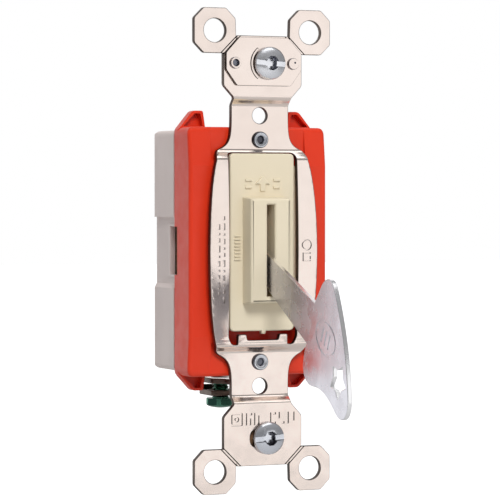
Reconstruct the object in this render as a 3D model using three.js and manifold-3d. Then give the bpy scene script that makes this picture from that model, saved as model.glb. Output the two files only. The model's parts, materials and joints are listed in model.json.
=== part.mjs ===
// Key-operated wall switch, in millimetres, +Z up. The front faces -Y.
// The origin is midway between the two mounting screws, in the plane of the strap's back faces.
import * as THREE from 'three';
import { mergeVertices } from 'three/addons/utils/BufferGeometryUtils.js';
import Module from 'manifold-3d';

const wasm = await Module();
wasm.setup();

// Driving dimensions
const GAP = 0.3; // clearance kept between neighbouring pieces
const FAR = 60; // reaches past every face of the switch

const MOUNT_Z = 41.67; // half the 83.34 mm spacing of the mounting screws
const MOUNT_X = 1.1; // captive screws sit off centre in their slots
const PLATE_HOLE_Z = 30.16; // half the 60.3 mm spacing of the wall plate screws
const PLATE_HOLE_RADIUS = 1.8;
const RIVET_Z = 24.76;
const RIVET_SHAFT = 1.2;

const SHEET = 1.3; // strap thickness
const EAR_FRONT = -SHEET;
const SHOULDER_FRONT = 0.35;
const SHOULDER_BACK = SHOULDER_FRONT + SHEET;
const RAIL_ARCH = 0.6; // how far the side rails bow forward at mid height
// Heights between which the sheet steps from its front level to its back level
const JOGGLE = {
  outer: { front: 33.9, back: 31.9 },
  upper: { front: 20.2, back: 22.4 },
  lower: { front: -20.8, back: -23.2 },
};
const EAR = { x: 11.54, z: 48.8, halfWidth: 5.1, halfHeight: 5.0, corner: 2.3, hole: 2.65 };
const PANEL = { top: 47.8, halfTop: 6.1, half: 9.5, corner: 43.9, bottom: 36.75, neck: 34.2 };
const NECK_HALF = 6.95;
const SHOULDER_HALF = 10.3;
const RAIL_HALF = 13.7; // control width of the rail's outer curve
const WINDOW = { half: 8.3, bottom: -20.8, top: 21.9 };

const COVER = { half: 7.8, bottom: -17.8, top: 21.7, corner: 1.2, front: -1.0, back: 0.6 };
const FLANGE = { half: 9.4, bottom: -17.0, top: 19.0, front: GAP, back: 1.7 };
const BLOCK = { left: -4.5, right: 5.1, draft: 0.3, bottom: -11.4, top: 11.7, front: -5.2 };
const UP_MARK = { tip: 16.7, shoulder: 14.9, foot: 13.3, half: 1.7, stem: 0.6, relief: 0.25 };
const UP_BAR = { x: 3.4, half: 0.8 };
const KEY_X = 0.37; // the slot is a little off centre
const SLOT = { half: 0.92, z: 10 };

const FRAME = { half: 16.7, z: 27.3, face: 0.95, slopeZ: 19, endFace: 1.95, back: 10.5, wall: 1.8 };
const FRONT_WALL_BACK = 4.2;
const STRAP_SEAT = { half: SHOULDER_HALF + 1.2, low: 20.3, high: 28.3 };
const LUG = { front: 7.9, base: 26.5, top: 31.35, inner: 9.8, outer: 13.0, wall: 0.7 };

const BODY = { half: 16.5, z: 27, front: FRAME.back + GAP, back: 23.9, wall: 1.8 };
const BODY_BEVEL = { side: 1.6, end: 2.6 };
const CAVITY_BACK = BODY.back - BODY.wall;
const SIDE_RELIEF = { depth: 0.93, z: 7.5, foot: 8.6 };
const LATCH = { front: 8.2, back: 14.3, z: 5.4 };

const PIVOT_Y = 5.6; // toggle axis, along X
const TOGGLE_TILT = THREE.MathUtils.degToRad(25); // key down; the toggle travels to the same angle up
const BARREL = { radius: 4.5, half: 6.3 };
const TRUNNION = { radius: 1.8, half: 8.6 };
const SADDLE = { inner: 6.9, outer: 8.7, back: 9.2, post: 12.8, postLow: 5.6, postHigh: 7.8 };
const TAIL = { half: 2.1, end: 8.6, bore: 1.35, boreFoot: 3.7 };
const PLUNGER_REACH = 11.4;

const KEY = { thickness: 1.0, tip: 1.5, tongue: 2.4, shoulder: 6.4, slotHalf: 3.35 };
const KEY_NECK = { a: 35.4, half: 4.85 };
const STAR = { a: 52.6, b: -4.8, outer: 3.9, inner: 2.3, points: 5 };

const ROCKER_Y = 18.6; // rocker axis, along X
const ROCKER_TILT = THREE.MathUtils.degToRad(-8); // contacts open; it closes at the opposite tilt
const ROCKER = { half: 2.6, inner: PLUNGER_REACH + GAP, thickness: 0.8, angle: 32, foot: -12.5, boss: 1.5 };
const PIN_RADIUS = 0.6;
const CONTACT_Z = -10.8;

const TERMINAL = { y: 17.2, z: 13.2, plate: 11.2, thickness: 1.0, front: 12.6, back: 21.8, half: 4.7 };
const TERMINAL_SHANK = 2.2;
const CLAMP_X = TERMINAL.plate + TERMINAL.thickness + GAP;
const HEAD_X = CLAMP_X + TERMINAL.thickness + GAP;
const POCKET_HALF = 5.0;

const GROUND = { x: -5.4, y: 10, top: -28.6, sheet: 1.2, tabBack: 13.4 };
const GROUND_SCREW = { shank: 1.9, clampTop: -31.4, head: 3.2 };

const CLIP = { back: EAR_FRONT - GAP, thickness: 0.4, bottom: 36.7, top: 47.4 };
const CLIP_FRONT = CLIP.back - CLIP.thickness;
const STAKE = { x: 7.0, radius: 0.8, head: 1.35 };

// Materials
function finish(color, roughness, metalness) {
  return new THREE.MeshStandardMaterial({ color, roughness, metalness });
}

const NICKEL = finish(0xece4dc, 0.22, 1);
const ZINC = finish(0xc9ced8, 0.25, 1);
const STEEL = finish(0xc8c4cc, 0.3, 1);
const BRASS = finish(0xc9a45c, 0.35, 1);
const SILVER = finish(0xe4e4e4, 0.25, 1);
const GREEN = finish(0x35664f, 0.4, 0.6);
const IVORY = finish(0xe8dcc4, 0.45, 0);
const RED = finish(0xd64030, 0.45, 0);
const GREY = finish(0xb0a8a2, 0.6, 0);
const DARK = finish(0x4a4440, 0.6, 0);
const RUBBER = finish(0x2a2a2c, 0.9, 0);
const FIBRE = finish(0x9a7a5c, 0.85, 0);

// Shape helpers. A section is drawn in the two axes that its extrusion axis leaves: 'x' takes (y, z),
// 'y' takes (x, z) and 'z' takes (x, y).
const X = new THREE.Vector3(1, 0, 0);
const Y = new THREE.Vector3(0, 1, 0);
const Z = new THREE.Vector3(0, 0, 1);
const BASES = {
  x: new THREE.Matrix4().makeBasis(Y, Z, X),
  y: new THREE.Matrix4().makeBasis(X, Z, Y.clone().negate()),
  z: new THREE.Matrix4(),
};

function polygon(points) {
  return new THREE.Shape(points.map(([a, b]) => new THREE.Vector2(a, b)));
}

function rect(a0, a1, b0, b1) {
  return polygon([[a0, b0], [a1, b0], [a1, b1], [a0, b1]]);
}

function roundRect(a0, a1, b0, b1, r) {
  const shape = new THREE.Shape();
  shape.absarc(a1 - r, b0 + r, r, -Math.PI / 2, 0);
  shape.absarc(a1 - r, b1 - r, r, 0, Math.PI / 2);
  shape.absarc(a0 + r, b1 - r, r, Math.PI / 2, Math.PI);
  shape.absarc(a0 + r, b0 + r, r, Math.PI, Math.PI * 1.5);
  return shape;
}

function circle(a, b, radius) {
  return new THREE.Shape().absarc(a, b, radius, 0, Math.PI * 2);
}

// A closed solid from a three.js geometry: corners merged, collapsed faces dropped, faces turned outward.
function solid(geometry) {
  const bare = geometry.index ? geometry.toNonIndexed() : geometry.clone();
  bare.deleteAttribute('normal');
  bare.deleteAttribute('uv');
  const merged = mergeVertices(bare, 1e-4);
  const at = (i) => new THREE.Vector3().fromBufferAttribute(merged.attributes.position, i);
  const faces = [];
  let volume = 0;
  for (let i = 0; i < merged.index.count; i += 3) {
    const [a, b, c] = [0, 1, 2].map((k) => merged.index.getX(i + k));
    if (a === b || b === c || c === a) continue;
    faces.push([a, b, c]);
    volume += at(a).dot(at(b).cross(at(c)));
  }
  const triVerts = Uint32Array.from(faces.flatMap((face) => (volume < 0 ? face.reverse() : face)));
  const vertProperties = Float32Array.from(merged.attributes.position.array);
  return new wasm.Manifold(new wasm.Mesh({ numProp: 3, vertProperties, triVerts }));
}

function extruded(shape, axis, from, to, curveSegments = 10) {
  const options = { depth: to - from, bevelEnabled: false, curveSegments };
  const geometry = new THREE.ExtrudeGeometry(shape, options);
  geometry.applyMatrix4(BASES[axis]);
  const shift = { x: [from, 0, 0], y: [0, to, 0], z: [0, 0, from] }[axis];
  return solid(geometry.translate(...shift));
}

function box(x0, x1, y0, y1, z0, z1) {
  return extruded(rect(x0, x1, z0, z1), 'y', y0, y1);
}

function rod(axis, a, b, radius, from, to, curveSegments = 10) {
  return extruded(circle(a, b, radius), axis, from, to, curveSegments);
}

// Turned about its own Y axis from (radius, height) points.
function turned(points, segments = 24) {
  return solid(new THREE.LatheGeometry(points.map(([r, h]) => new THREE.Vector2(r, h)), segments));
}

function join(...solids) {
  return solids.reduce((whole, next) => whole.add(next));
}

function cut(body, ...tools) {
  return tools.reduce((whole, tool) => whole.subtract(tool), body);
}

const group = new THREE.Group();

function piece(name, body, material, parent = group) {
  const { vertProperties, triVerts } = body.getMesh();
  const geometry = new THREE.BufferGeometry();
  geometry.setAttribute('position', new THREE.BufferAttribute(vertProperties, 3));
  geometry.setIndex(new THREE.BufferAttribute(triVerts, 1));
  geometry.computeVertexNormals();
  const mesh = new THREE.Mesh(geometry, material);
  mesh.name = name;
  parent.add(mesh);
  return mesh;
}

const both = [1, -1];

// Strap: a flat blank, cut by the bent side view of the sheet.
function strapBlank() {
  const right = [
    [PANEL.halfTop, PANEL.top], [PANEL.half, PANEL.corner], [PANEL.half, PANEL.bottom],
    [NECK_HALF, PANEL.neck], [NECK_HALF, 26],
  ];
  const shape = new THREE.Shape();
  shape.moveTo(0, PANEL.top);
  right.forEach(([x, z]) => shape.lineTo(x, z));
  shape.quadraticCurveTo(7.3, 23.4, SHOULDER_HALF, 22.4);
  shape.lineTo(11.2, 20);
  shape.bezierCurveTo(RAIL_HALF, 12, RAIL_HALF, -12, 11.2, -21);
  shape.lineTo(SHOULDER_HALF, -23);
  shape.quadraticCurveTo(7.3, -23.6, NECK_HALF, -26);
  right.reverse().slice(1).forEach(([x, z]) => shape.lineTo(x, -z));
  shape.lineTo(0, -PANEL.top);
  const half = extruded(shape, 'y', -4, 4, 16);
  return join(half, half.mirror([1, 0, 0]));
}

function sheetProfile() {
  const shape = new THREE.Shape();
  const { outer, upper, lower } = JOGGLE;
  const above = [[EAR_FRONT, outer.front], [SHOULDER_FRONT, outer.back], [SHOULDER_FRONT, upper.back]];
  const below = [[SHOULDER_FRONT, lower.back], [SHOULDER_FRONT, -outer.back], [EAR_FRONT, -outer.front]];
  const arch = EAR_FRONT - 2 * RAIL_ARCH;
  shape.moveTo(EAR_FRONT, FAR);
  above.forEach(([y, z]) => shape.lineTo(y, z));
  shape.lineTo(EAR_FRONT, upper.front);
  shape.quadraticCurveTo(arch, 0, EAR_FRONT, lower.front);
  below.forEach(([y, z]) => shape.lineTo(y, z));
  shape.lineTo(EAR_FRONT, -FAR);
  shape.lineTo(EAR_FRONT + SHEET, -FAR);
  below.reverse().forEach(([y, z]) => shape.lineTo(y + SHEET, z));
  shape.lineTo(EAR_FRONT + SHEET, lower.front);
  shape.quadraticCurveTo(arch + SHEET, 0, EAR_FRONT + SHEET, upper.front);
  above.reverse().forEach(([y, z]) => shape.lineTo(y + SHEET, z));
  shape.lineTo(EAR_FRONT + SHEET, FAR);
  return shape;
}

function ear(sideX, sideZ) {
  const { x, z, halfWidth: w, halfHeight: h, corner: c } = EAR;
  const octagon = [
    [w, h - c], [w - c, h], [c - w, h], [-w, h - c], [-w, c - h], [c - w, -h], [w - c, -h], [w, c - h],
  ];
  const outline = polygon(octagon.map(([a, b]) => [a + x, b + z]));
  const washer = cut(extruded(outline, 'y', EAR_FRONT, 0), rod('y', x, z, EAR.hole, -4, 4));
  return washer.scale([sideX, 1, sideZ]);
}

// The V groove along which an ear breaks off, on the 45 degree line between panel and ear.
function scoreGroove(sideX, sideZ) {
  const groove = polygon([[-0.45, EAR_FRONT - 0.1], [0.45, EAR_FRONT - 0.1], [0, EAR_FRONT + 0.45]]);
  return extruded(groove, 'z', -3.2, 3.2)
    .rotate([0, -sideX * sideZ * 45, 0])
    .translate([sideX * 7.95, 0, sideZ * 45.75]);
}

function groundTab() {
  const { top, sheet, x, y, tabBack } = GROUND;
  const outline = polygon([
    [-6.9, 0.8], [-2.2, 0.8], [-2.2, tabBack], [-9.0, tabBack], [-9.0, 6.4], [-6.9, 4.3],
  ]);
  const hole = rod('z', x, y, GROUND_SCREW.shank + GAP, top - 2, top + 1);
  return cut(extruded(outline, 'z', top - sheet, top), hole);
}

function strap() {
  const sheet = strapBlank().intersect(extruded(sheetProfile(), 'x', -FAR, FAR, 16));
  const window = roundRect(-WINDOW.half, WINDOW.half, WINDOW.bottom, WINDOW.top, 1.2);
  let body = cut(sheet, extruded(window, 'y', -6, 6));
  for (const side of both) {
    for (const end of both) {
      body = cut(join(body, ear(side, end)), scoreGroove(side, end));
    }
    const slot = roundRect(-3.1, 3.1, side * MOUNT_Z - 2, side * MOUNT_Z + 2, 1.9);
    const plateHole = rod('y', 0, side * PLATE_HOLE_Z, PLATE_HOLE_RADIUS, -4, 4);
    const rivetHole = rod('y', 0, side * RIVET_Z, RIVET_SHAFT + GAP, -4, 4, 6);
    const stakeHole = rod('y', side * STAKE.x, MOUNT_Z, STAKE.radius + GAP, -4, 4, 6);
    const windowTab = box(side * 5 - 0.95, side * 5 + 0.95, EAR_FRONT, 0, -21.5, -18.5);
    body = cut(join(body, windowTab), extruded(slot, 'y', -4, 4), plateHole, rivetHole, stakeHole);
  }
  return join(body, groundTab());
}

// Ivory cover: plate and raised block in the strap's window, with a flange behind the rails.
function keySlotCover() {
  const outline = roundRect(-COVER.half, COVER.half, COVER.bottom, COVER.top, COVER.corner);
  const plate = extruded(outline, 'y', COVER.front, COVER.back);
  const flange = box(-FLANGE.half, FLANGE.half, FLANGE.front, FLANGE.back, FLANGE.bottom, FLANGE.top);
  const sideView = polygon([
    [BLOCK.front, BLOCK.bottom], [BLOCK.front, BLOCK.top], [COVER.back, BLOCK.top + BLOCK.draft],
    [COVER.back, BLOCK.bottom - BLOCK.draft],
  ]);
  const topView = polygon([
    [BLOCK.left, BLOCK.front], [BLOCK.right, BLOCK.front],
    [BLOCK.right + BLOCK.draft, COVER.back], [BLOCK.left - BLOCK.draft, COVER.back],
  ]);
  const block = extruded(sideView, 'x', -6, 6).intersect(extruded(topView, 'z', -20, 20));
  const slot = box(KEY_X - SLOT.half, KEY_X + SLOT.half, -8, 3, -SLOT.z, SLOT.z);
  const barrelRoom = box(-BARREL.half - GAP, BARREL.half + GAP, COVER.back, 3, -6, 6);
  const nib = box(-0.9, 0.9, COVER.front, COVER.back, COVER.bottom - 0.7, COVER.bottom + 1);
  return cut(join(plate, flange, block, nib, ...upMark()), slot, barrelRoom);
}

// Raised arrow between two bars, which marks the top of the cover.
function upMark() {
  const { tip, shoulder, foot, half, stem, relief } = UP_MARK;
  const arrow = polygon([
    [0, tip], [-half, shoulder], [-stem, shoulder], [-stem, foot],
    [stem, foot], [stem, shoulder], [half, shoulder],
  ]);
  const raised = [COVER.front - relief, COVER.front + 0.5];
  const middle = (tip + foot) / 2;
  const bars = both.map((side) => {
    const centre = side * UP_BAR.x;
    return box(centre - UP_BAR.half, centre + UP_BAR.half, ...raised, middle - 0.4, middle + 0.4);
  });
  return [extruded(arrow, 'y', ...raised), ...bars];
}

// Red front half of the housing, open at the back.
function frontFrame() {
  const { half, z, face, slopeZ, endFace, back, wall } = FRAME;
  const sideView = polygon([
    [face, slopeZ], [endFace, z], [back, z], [back, -z], [endFace, -z], [face, -slopeZ],
  ]);
  const shell = extruded(sideView, 'x', -half, half)
    .intersect(extruded(roundRect(-half, half, -z, z, 1), 'y', 0, back));
  const cavity = box(wall - half, half - wall, FRONT_WALL_BACK, FAR, wall - z, z - wall);
  const coverHalf = FLANGE.half + GAP;
  const coverSeat = box(-coverHalf, coverHalf, -1, FLANGE.back + GAP, FLANGE.bottom - 1, FLANGE.top + GAP);
  const strapSeats = both.map((end) => {
    const ends = [end * STRAP_SEAT.low, end * STRAP_SEAT.high].sort((a, b) => a - b);
    return box(-STRAP_SEAT.half, STRAP_SEAT.half, -1, SHOULDER_BACK + GAP, ...ends);
  });
  const barrelHole = box(-BARREL.half - GAP, BARREL.half + GAP, -1, 5, -5.2, 5.2);
  const lowerHole = box(-6.4, 6.4, -1, 5, -20.5, -17.6);
  const latch = box(-FAR, wall - half + 0.2, LATCH.front, FAR, -LATCH.z, LATCH.z);
  const posts = both.map((end) => rod('y', 0, end * RIVET_Z, 2.5, 3, back, 8));
  const bores = both.map((end) => rod('y', 0, end * RIVET_Z, RIVET_SHAFT + GAP, -1, FAR, 6));
  const solids = join(cut(shell, cavity), ...posts, ...saddles());
  const openings = [coverSeat, ...strapSeats, barrelHole, lowerHole, latch, ...bores, ...trunnionNotches()];
  return join(cut(solids, ...openings), ...lugs());
}

// Ribs that carry the toggle's trunnions, with posts beside the rubber bumpers.
function saddles() {
  const { inner, outer, back, post, postLow, postHigh } = SADDLE;
  const outline = polygon([
    [3.9, -postHigh], [post, -postHigh], [post, -postLow], [back, -postLow],
    [back, postLow], [post, postLow], [post, postHigh], [3.9, postHigh],
  ]);
  const rib = extruded(outline, 'x', inner, outer);
  return [rib, rib.mirror([1, 0, 0])];
}

// Open-backed bearing notches, through the ribs and a little into the wall behind the cover.
function trunnionNotches() {
  const radius = TRUNNION.radius + GAP;
  const reach = SADDLE.outer + 0.2;
  return [box(-reach, reach, PIVOT_Y, FAR, -radius, radius), rod('x', PIVOT_Y, 0, radius, -reach, reach)];
}

// Screw-relief lugs above and below the corners, each with a pocket open to the front.
function lugs() {
  const { front, base, top, inner, outer, wall } = LUG;
  const outline = polygon([[inner, base], [FRAME.half, base], [outer, top], [inner + 0.7, top]]);
  const pocket = polygon([
    [inner + wall + 0.1, FRAME.z + 0.3], [FRAME.half - 2 * wall, FRAME.z + 0.3],
    [outer - 0.45, top - wall], [inner + 2 * wall, top - wall],
  ]);
  const pocketBack = FRAME.back - wall;
  const lug = cut(extruded(outline, 'y', front, FRAME.back), extruded(pocket, 'y', front - 1, pocketBack));
  const right = [lug, lug.mirror([0, 0, 1])];
  return [...right, ...right.map((one) => one.mirror([1, 0, 0]))];
}

// Grey back half of the housing, open at the front.
function rearBody() {
  const { half, z, front, back, wall } = BODY;
  const { side: bevel, end: endBevel } = BODY_BEVEL;
  const sideView = polygon([
    [front, z], [back - endBevel, z], [back, z - bevel],
    [back, bevel - z], [back - endBevel, -z], [front, -z],
  ]);
  const topView = polygon([
    [-half, front], [half, front], [half, back - bevel],
    [half - bevel, back], [bevel - half, back], [-half, back - bevel],
  ]);
  const shell = extruded(sideView, 'x', -half, half).intersect(extruded(topView, 'z', -z, z));
  const cavity = box(wall - half, half - wall, 0, CAVITY_BACK, wall - z, z - wall);
  const reliefFloor = SIDE_RELIEF.depth - half;
  const relief = extruded(polygon([
    [-FAR, SIDE_RELIEF.z], [reliefFloor, SIDE_RELIEF.z], [reliefFloor, -SIDE_RELIEF.z],
    [-half - 0.1, -SIDE_RELIEF.foot], [-FAR, -SIDE_RELIEF.foot],
  ]), 'y', 0, FAR);
  const latch = box(-FAR, wall - half + 0.1, 0, LATCH.back, -LATCH.z, LATCH.z);
  const posts = both.map((end) => rod('y', 0, end * RIVET_Z, 2.2, front, CAVITY_BACK + 0.5, 8));
  const bores = both.map((end) => rod('y', 0, end * RIVET_Z, RIVET_SHAFT + GAP, 0, FAR, 6));
  const pockets = both.flatMap((end) => terminalPocket(end));
  const holes = both.flatMap((end) => terminalHoles(end));
  return cut(join(cut(shell, cavity), ...posts, ...pockets), relief, latch, ...bores, ...holes);
}

function terminalPocket(end) {
  const side = BODY.half - BODY.wall + 0.3;
  const centre = end * TERMINAL.z;
  return both.map((wall) => {
    const near = centre + wall * (POCKET_HALF + 0.5);
    return box(10.9, side, BODY.front, CAVITY_BACK + 0.3, near - 0.5, near + 0.5);
  });
}

function terminalHoles(end) {
  const centre = end * TERMINAL.z;
  const inside = BODY.half - BODY.wall - 0.1;
  const ends = [centre - POCKET_HALF, centre + POCKET_HALF];
  const window = box(inside, FAR, TERMINAL.front, TERMINAL.back + 0.1, ...ends);
  const wires = both.map((side) => rod('y', 13.4, centre + side * 2.8, 1.5, CAVITY_BACK - 1, FAR, 6));
  return [window, ...wires];
}

// Toggle: everything that turns with the key, in a group on the toggle axis. Forward is -Y in the group.
function toggleCradle() {
  const barrel = rod('x', 0, 0, BARREL.radius, -BARREL.half, BARREL.half, 16);
  const trunnions = rod('x', 0, 0, TRUNNION.radius, -TRUNNION.half, TRUNNION.half, 8);
  const tail = box(-TAIL.half, TAIL.half, 2, TAIL.end, -TAIL.half, TAIL.half);
  const bore = rod('y', 0, 0, TAIL.bore, TAIL.boreFoot, TAIL.end + 1, 6);
  const halfPocket = KEY.thickness / 2 + GAP;
  const tongue = KEY.tongue + GAP;
  const pocket = box(KEY_X - halfPocket, KEY_X + halfPocket, -FAR, GAP - KEY.tip, -tongue, tongue);
  return cut(join(barrel, trunnions, tail), pocket, bore);
}

// Flat key: a tongue, a blade that widens towards the head, and a lopsided rounded head with a star hole.
// The section is drawn in (-a, b), where a runs out along the blade and b across it.
function keyBlank() {
  const { tip, tongue, shoulder, slotHalf } = KEY;
  const { a: neck, half: neckHalf } = KEY_NECK;
  const shape = new THREE.Shape();
  shape.moveTo(-tip, -tongue);
  shape.lineTo(-tip, tongue);
  shape.lineTo(-shoulder, tongue);
  shape.lineTo(-shoulder - 1, slotHalf);
  shape.lineTo(-neck, neckHalf);
  shape.lineTo(-36.7, 9.2);
  shape.bezierCurveTo(-37.6, 12.2, -40.3, 14.2, -43.2, 11.7);
  shape.bezierCurveTo(-49, 7.2, -54.6, 1.2, -58.6, -6.2);
  shape.bezierCurveTo(-60.2, -9.6, -58.2, -12.3, -54.6, -11.6);
  shape.bezierCurveTo(-49.5, -10.1, -46, -10, -42.4, -11.6);
  shape.bezierCurveTo(-38.6, -13.4, -35.2, -11.8, -35.3, -6.9);
  shape.lineTo(-neck, -neckHalf);
  shape.lineTo(-shoulder - 1, -slotHalf);
  shape.lineTo(-shoulder, -tongue);
  return shape;
}

function starPoints() {
  const points = [];
  for (let i = 0; i < 2 * STAR.points; i += 1) {
    const radius = i % 2 ? STAR.inner : STAR.outer;
    const angle = (i * Math.PI) / STAR.points + 0.5;
    points.push([-STAR.a + radius * Math.cos(angle), STAR.b + radius * Math.sin(angle)]);
  }
  return points;
}

function key() {
  const from = KEY_X - KEY.thickness / 2;
  const to = KEY_X + KEY.thickness / 2;
  const star = extruded(polygon(starPoints()), 'x', from - 1, to + 1);
  return cut(extruded(keyBlank(), 'x', from, to, 8), star);
}

function coilSpring() {
  class Helix extends THREE.Curve {
    getPoint(t, target = new THREE.Vector3()) {
      const turn = t * 4 * Math.PI * 2;
      const along = TAIL.boreFoot + 0.5 + t * 2.5;
      return target.set(0.85 * Math.cos(turn), along, 0.85 * Math.sin(turn));
    }
  }
  const options = { steps: 40, bevelEnabled: false, extrudePath: new Helix(), curveSegments: 2 };
  return solid(new THREE.ExtrudeGeometry(circle(0, 0, 0.18), options));
}

function springPlunger() {
  const tip = 1.2;
  const centre = PLUNGER_REACH - tip;
  const profile = [[0, 7.1], [1.0, 7.1], [1.0, centre - 0.7], [tip, centre]];
  for (let i = 1; i <= 4; i += 1) {
    const angle = (i * Math.PI) / 8;
    profile.push([tip * Math.cos(angle), centre + tip * Math.sin(angle)]);
  }
  profile[profile.length - 1][0] = 0;
  return turned(profile, 12);
}

function buildToggle() {
  const toggle = new THREE.Group();
  toggle.position.set(0, PIVOT_Y, 0);
  toggle.rotation.x = TOGGLE_TILT;
  group.add(toggle);
  piece('toggle_cradle', toggleCradle(), DARK, toggle);
  piece('key', key(), STEEL, toggle);
  piece('toggle_spring', coilSpring(), STEEL, toggle);
  piece('spring_plunger', springPlunger(), STEEL, toggle);
}

// Rocker: a saddle round the toggle axis, which carries the moving contact below its own pin.
function rocker() {
  const { half, inner, thickness, angle, foot, boss } = ROCKER;
  const outer = inner + thickness;
  const centre = PIVOT_Y - ROCKER_Y;
  const spread = THREE.MathUtils.degToRad(angle);
  const armFront = centre + inner * Math.cos(spread);
  const shape = new THREE.Shape();
  shape.moveTo(armFront, foot);
  shape.absarc(centre, 0, inner, -spread, spread, false);
  shape.absarc(centre, 0, outer, spread, -spread, true);
  shape.lineTo(armFront + thickness, -outer * Math.sin(spread) - 0.4);
  shape.lineTo(armFront + thickness, foot);
  const pinHole = rod('x', 0, 0, PIN_RADIUS + GAP, -FAR, FAR, 6);
  return cut(join(extruded(shape, 'x', -half, half), rod('x', 0, 0, boss, -half, half, 8)), pinHole);
}

function buildRocker() {
  const moving = new THREE.Group();
  moving.position.set(0, ROCKER_Y, 0);
  moving.rotation.x = ROCKER_TILT;
  group.add(moving);
  const spread = THREE.MathUtils.degToRad(ROCKER.angle);
  const armBack = PIVOT_Y - ROCKER_Y + ROCKER.inner * Math.cos(spread) + ROCKER.thickness;
  piece('contact_rocker', rocker(), BRASS, moving);
  const contact = rod('y', 0, CONTACT_Z, 1.5, armBack + GAP, armBack + GAP + 0.9, 8);
  piece('moving_contact', contact, SILVER, moving);
}

// Terminals: a side plate in the body's pocket, with an arm across to the contacts.
function terminalPlate(end) {
  const { y, z, plate, thickness, front, back, half } = TERMINAL;
  const centre = end * z;
  const side = box(plate, plate + thickness, front, back, centre - half, centre + half);
  return cut(side, rod('x', y, centre, TERMINAL_SHANK + GAP, plate - 1, plate + thickness + 1));
}

function lineTerminal() {
  const arm = box(-2.2, TERMINAL.plate + 0.5, 20.6, 21.4, -12.6, -8.9);
  return join(terminalPlate(-1), arm);
}

function loadTerminal() {
  const arm = box(-4.2, TERMINAL.plate + 0.5, 20.6, 21.4, 8.7, 11.7);
  const fingers = both.map((side) => box(side * 3.7 - 0.5, side * 3.7 + 0.5, 17, 21.4, -1.8, 11.7));
  const pinHole = rod('x', ROCKER_Y, 0, PIN_RADIUS + GAP, -FAR, FAR, 6);
  return join(terminalPlate(1), cut(join(arm, ...fingers), pinHole));
}

function clampPlate(end) {
  const centre = end * TERMINAL.z;
  const to = CLAMP_X + TERMINAL.thickness;
  const plate = box(CLAMP_X, to, 13.2, 21.2, centre - 3.9, centre + 3.9);
  return cut(plate, rod('x', TERMINAL.y, centre, TERMINAL_SHANK + GAP, CLAMP_X - 1, to + 1));
}

// A screw about its own Y axis: the head stands on -Y, domed, with a slot and a cross recess.
function screw({ head, height, shank, length, slot, cross = 0 }) {
  const profile = [[0, length], [shank - 0.4, length], [shank, length - 0.5], [shank, 0], [head, 0]];
  profile.push([head, -height * 0.35], [head * 0.82, -height * 0.8], [head * 0.45, -height], [0, -height]);
  const top = -height - 1;
  const body = cut(turned(profile), box(-FAR, FAR, top, -height + slot, -slot / 2, slot / 2));
  return cross ? cut(body, box(-slot / 2, slot / 2, top, -height + 1.3 * slot, -cross, cross)) : body;
}

function buildTerminals() {
  for (const [name, end] of [['line', -1], ['load', 1]]) {
    piece(`${name}_clamp_plate`, clampPlate(end), ZINC);
    const body = screw({ head: 3.6, height: 2.4, shank: TERMINAL_SHANK, length: 6.3, slot: 1.1 });
    const mesh = piece(`${name}_screw`, body, BRASS);
    mesh.position.set(HEAD_X, TERMINAL.y, end * TERMINAL.z);
    mesh.rotation.z = Math.PI / 2;
  }
}

// Grounding screw below the strap's tab. Its pressure plate has a lip behind the tab, so it can't turn.
function groundClampPlate() {
  const { x, y, tabBack } = GROUND;
  const { clampTop, shank } = GROUND_SCREW;
  const sides = [x - 3.5, x + 3.2];
  const plate = box(...sides, y - 3.4, tabBack + 1.2, clampTop - 1.2, clampTop);
  const lip = box(...sides, tabBack + GAP, tabBack + 1.2, clampTop - 0.4, clampTop + 1.0);
  return cut(join(plate, lip), rod('z', x, y, shank + GAP, clampTop - 2, clampTop + 1, 8));
}

function buildGround() {
  piece('ground_clamp_plate', groundClampPlate(), ZINC);
  const height = 2.6;
  const { shank, clampTop, head } = GROUND_SCREW;
  const corner = head + 0.3;
  const hex = solid(new THREE.CylinderGeometry(corner, corner, height, 6)).translate([0, -height / 2, 0]);
  const body = screw({ head, height, shank, length: 4.0, slot: 1.0 });
  const mesh = piece('ground_screw', body.intersect(join(hex, rod('y', 0, 0, shank, -1, 5))), GREEN);
  mesh.position.set(GROUND.x, GROUND.y, clampTop - 1.2 - GAP);
  mesh.rotation.x = Math.PI / 2;
}

// Mounting screws, each captive in its slot by a fibre washer behind the strap.
function buildMountingScrews() {
  const seats = { upper: CLIP_FRONT - GAP, lower: EAR_FRONT - GAP };
  for (const [name, end] of [['upper', 1], ['lower', -1]]) {
    const seat = seats[name];
    const body = screw({ head: 3.65, height: 2.0, shank: 1.6, length: 16.5 - seat, slot: 1.1, cross: 1.9 });
    piece(`${name}_mounting_screw`, body, ZINC).position.set(MOUNT_X, seat, end * MOUNT_Z);
    const washer = box(MOUNT_X - 4.1, MOUNT_X + 4.1, GAP, 1.0, end * MOUNT_Z - 4.1, end * MOUNT_Z + 4.1);
    piece(`${name}_screw_retainer`, cut(washer, rod('y', MOUNT_X, end * MOUNT_Z, 1.9, -1, 2)), FIBRE);
  }
}

function buildRivets() {
  const frontFace = SHOULDER_FRONT - GAP;
  const backFace = BODY.back + GAP;
  const bore = 0.7;
  const frontHead = [
    [bore, frontFace - 0.5], [1.5, frontFace - 0.5], [1.9, frontFace - 0.25], [1.9, frontFace],
    [RIVET_SHAFT, frontFace],
  ];
  const backHead = [[RIVET_SHAFT, backFace], [2.2, backFace], [2.0, backFace + 0.5], [bore, backFace + 0.6]];
  const profile = [...frontHead, ...backHead, frontHead[0]];
  for (const [name, end] of [['upper', 1], ['lower', -1]]) {
    piece(`${name}_rivet`, turned(profile, 20), ZINC).position.z = end * RIVET_Z;
  }
}

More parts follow.
